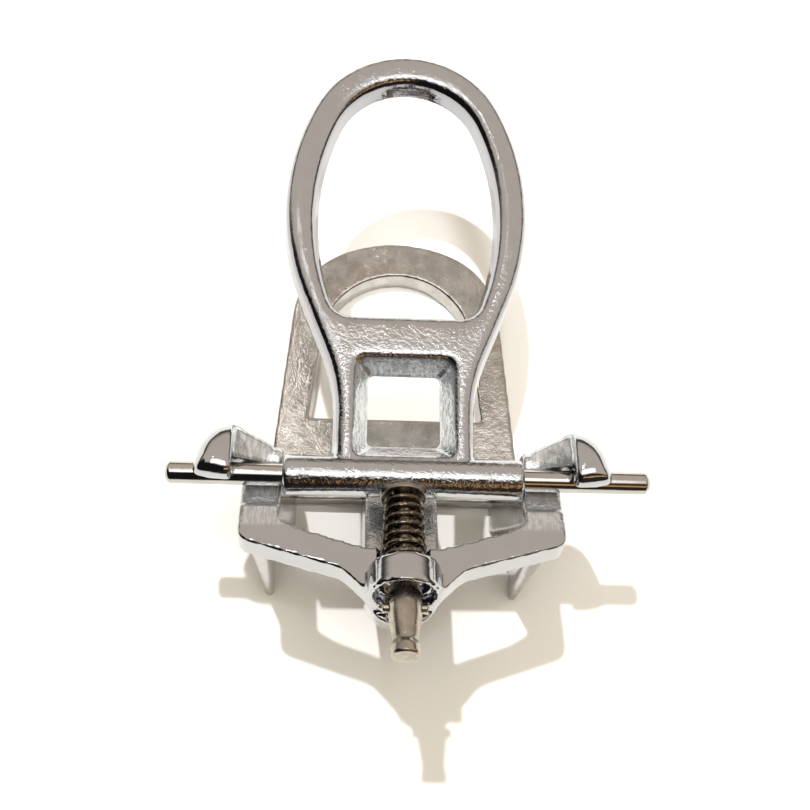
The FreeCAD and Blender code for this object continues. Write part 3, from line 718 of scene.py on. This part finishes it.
def build_cross_pin(material):
    low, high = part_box("cross_pin")
    radius = (high[2] - low[2]) / 2
    centre = (Vector(low) + Vector(high)) / 2
    half = (high[0] - low[0]) / 2
    profile = [(-half, 0, 0), (-half, radius, 0.4 * MM), (half, radius, 0.4 * MM), (half, 0, 0)]
    obj = turned("stop_pin", profile, 48, (1, 0, 0), centre)
    return finish_piece(obj, "plunger", material, "turned_nickel", "cross_pin")


def build_spring(material):
    """Conical wire spring with closed, ground ends, built at one length; the real spring
    shortens as the plunger slides back.
    """
    front = guide_reach("spring_cup")[0] + 0.85 * MM
    rear = 22.15 * MM
    wire = 0.64 * MM
    small, large = 3.45 * MM, 4.1 * MM
    free_turns, closed = 6.0, 1.0
    turns = free_turns + 2 * closed
    steps = int(turns * 60)
    sides = 14
    end_pitch = 2.05 * wire
    start_at = front + wire
    end_at = rear - wire
    free = end_at - start_at - 2 * closed * end_pitch
    start_angle = 2.2
    probe = 0.004
    points, faces = [], []
    other = np.cross(ALONG, [1.0, 0.0, 0.0])

    def place(turn):
        if turn < closed:
            along = start_at + end_pitch * turn
        elif turn > closed + free_turns:
            along = start_at + closed * end_pitch + free + end_pitch * (turn - closed - free_turns)
        else:
            along = start_at + closed * end_pitch + free * (turn - closed) / free_turns
        radius = small + (large - small) * turn / turns
        angle = 2 * math.pi * turn + start_angle
        return HINGE + ALONG * along + radius * (math.cos(angle) * np.array([1.0, 0, 0])
                                                 + math.sin(angle) * other)

    for i in range(steps + 1):
        turn = turns * i / steps
        here = place(turn)
        ahead = place(min(turn + probe, turns)) - place(max(turn - probe, 0.0))
        ahead /= np.linalg.norm(ahead)
        outward = here - HINGE - ALONG * ((here - HINGE) @ ALONG)
        outward /= np.linalg.norm(outward)
        up = np.cross(ahead, outward)
        outward = np.cross(up, ahead)
        for k in range(sides):
            angle = 2 * math.pi * k / sides
            points.append(here + wire * (math.cos(angle) * outward + math.sin(angle) * up))
    for i in range(steps):
        for k in range(sides):
            a = i * sides + k
            b = i * sides + (k + 1) % sides
            faces.append((a, b, b + sides, a + sides))
    faces.append(tuple(range(sides - 1, -1, -1)))
    faces.append(tuple(steps * sides + k for k in range(sides)))
    points = np.array(points)
    along = (points - HINGE) @ ALONG
    ground = np.clip(along, front + 0.35 * wire, rear - 0.35 * wire)
    points = points + np.outer(ground - along, ALONG)
    mesh = mesh_from("coil_spring", points, faces)
    fix_normals(mesh)
    obj = finish_piece(new_object("coil_spring", mesh), "lower", material, "spring_steel", "spring")
    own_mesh(obj)
    return obj


# ---------------------------------------------------------------- stage, light and camera

def build_floor():
    """Plain pale floor whose far rim fades into the backdrop."""
    bpy.ops.mesh.primitive_plane_add(size=4.0)
    floor = bpy.context.object
    floor.name = "floor"
    material = bpy.data.materials.new("floor_white")
    material.use_nodes = True
    nodes = Nodes(material.node_tree)
    out = nodes.add("ShaderNodeOutputMaterial")
    place = nodes.add("ShaderNodeTexCoord").outputs["Object"]
    tint = nodes.mix(nodes.noise(place, 9.0, 3.0), (0.90, 0.90, 0.895, 1), (0.885, 0.885, 0.885, 1))
    shader = nodes.add("ShaderNodeBsdfPrincipled", {"Base Color": tint, "Roughness": 0.85})
    clear = nodes.add("ShaderNodeBsdfTransparent")
    reach = nodes.add("ShaderNodeVectorMath", operation="LENGTH")
    nodes.put(reach.inputs[0], place)
    fade = nodes.add("ShaderNodeMixShader")
    nodes.put(fade.inputs[0], nodes.ramp(reach.outputs["Value"], 0.55, 1.5))
    nodes.put(fade.inputs[1], shader.outputs["BSDF"])
    nodes.put(fade.inputs[2], clear.outputs["BSDF"])
    nodes.put(out.inputs["Surface"], fade.outputs[0])
    floor.data.materials.append(material)


def build_world():
    """A warm pale ceiling above darker walls, with a dark shape and a warm one to the rear."""
    world = bpy.data.worlds.new("studio")
    world.use_nodes = True
    scene.world = world
    nodes = Nodes(world.node_tree)
    out = nodes.add("ShaderNodeOutputWorld")
    direction = nodes.add("ShaderNodeTexCoord").outputs["Generated"]
    height = nodes.add("ShaderNodeSeparateXYZ", {"Vector": direction}).outputs["Z"]

    def towards(x, y, z, inner, outer):
        length = math.sqrt(x * x + y * y + z * z)
        dot = nodes.add("ShaderNodeVectorMath", operation="DOT_PRODUCT")
        nodes.put(dot.inputs[0], direction)
        nodes.put(dot.inputs[1], (x / length, y / length, z / length))
        low, high = math.cos(math.radians(outer)), math.cos(math.radians(inner))
        return nodes.ramp(dot.outputs["Value"], low, high)

    axes = nodes.add("ShaderNodeSeparateXYZ", {"Vector": direction})
    lifted = nodes.maths("MAXIMUM", height, 0.02)
    across = nodes.maths("DIVIDE", axes.outputs["X"], lifted)
    ahead = nodes.maths("DIVIDE", axes.outputs["Y"], lifted)
    right = nodes.ramp(across, 0.04, 0.12)

    def span(value, low, high, soft):
        return nodes.maths("MULTIPLY", nodes.ramp(value, low - soft, low + soft),
                           nodes.ramp(value, high - soft, high + soft, 1.0, 0.0))

    colour = nodes.mix(nodes.ramp(height, 0.02, 0.42), (0.06, 0.052, 0.046, 1), (0.70, 0.60, 0.51, 1))
    colour = nodes.mix(nodes.ramp(ahead, -0.40, -0.26, 1.0, 0.0), colour, (0.034, 0.026, 0.021, 1))
    colour = nodes.mix(towards(-0.58, -0.60, 0.55, 34, 44), colour, (0.012, 0.012, 0.013, 1))
    colour = nodes.mix(towards(-0.88, -0.02, 0.42, 20, 30), colour, (0.012, 0.012, 0.013, 1))
    amber = nodes.maths("MULTIPLY", span(ahead, -1.35, -0.85, 0.08), right)
    colour = nodes.mix(amber, colour, (0.80, 0.46, 0.19, 1))
    panel = nodes.maths("MULTIPLY", span(ahead, -0.20, 0.22, 0.04), span(across, -0.26, 0.32, 0.06))
    colour = nodes.mix(panel, colour, (2.4, 2.35, 2.25, 1))
    sky = nodes.add("ShaderNodeBackground", {"Color": colour, "Strength": 1.0})
    seen = nodes.add("ShaderNodeBackground", {"Color": (0.93, 0.92, 0.90, 1), "Strength": 1.0})
    both = nodes.add("ShaderNodeMixShader")
    nodes.put(both.inputs[0], nodes.add("ShaderNodeLightPath").outputs["Is Camera Ray"])
    nodes.put(both.inputs[1], sky.outputs[0])
    nodes.put(both.inputs[2], seen.outputs[0])
    nodes.put(out.inputs["Surface"], both.outputs[0])


def add_lamp(name, place, target, size, power, colour, mirrored=False):
    """Round lamp that is seen either in reflections only or in diffuse surfaces only."""
    data = bpy.data.lights.new(name, "AREA")
    data.shape = "DISK"
    data.size = size
    data.energy = power
    data.color = colour
    lamp = new_object(name, data)
    lamp.visible_glossy = mirrored
    lamp.visible_diffuse = not mirrored
    lamp.location = place
    lamp.rotation_euler = (Vector(target) - Vector(place)).to_track_quat("-Z", "Y").to_euler()


def add_front_fill():
    """Soft pool of light on the floor ahead of the bows; reflections do not show it."""
    height, pool = 0.9, 0.095
    data = bpy.data.lights.new("front_fill", "SPOT")
    data.energy = 30.0
    data.spot_size = 2 * math.atan(pool / height)
    data.spot_blend = 0.55
    data.shadow_soft_size = 0.12
    lamp = new_object("front_fill", data)
    lamp.location = (0.004, 0.138, height)
    lamp.visible_glossy = False


def build_camera():
    data = bpy.data.cameras.new("camera")
    data.lens = 46.93
    data.clip_start = 0.01
    camera = new_object("camera", data)
    right = Vector((0.99815, 0.01110, 0.05976))
    down = Vector((0.02855, -0.95360, -0.29972))
    ahead = Vector((0.05366, 0.30087, -0.95215))
    turn = Matrix((right, -down, -ahead)).transposed().to_4x4()
    camera.matrix_world = Matrix.Translation((-0.01198, -0.05214, 0.26215)) @ turn
    scene.camera = camera


chrome = frame_chrome()
nickel = turned_nickel()
steel = spring_steel()
build_lower(chrome)
build_upper(chrome)
build_pin(pin_chrome())
build_cup(nickel)
build_rod(steel)
build_knob(nickel)
build_cross_pin(nickel)
build_spring(steel)

build_floor()
build_world()
LAMP = (-0.409, 0.892, 2.422)
add_lamp("ceiling_lamp", LAMP, (0, 0, 0), 0.055, 46.0, (1.0, 0.99, 0.98))
add_lamp("ceiling_glint", LAMP, (0, 0, 0), 0.12, 1.2, (1.0, 0.98, 0.95), mirrored=True)
add_lamp("room_fill", (0.0, 0.0, 2.0), (0, 0, 0), 1.6, 15.0, (1.0, 0.93, 0.70))
add_front_fill()
build_camera()
scene.view_settings.view_transform = "Standard"
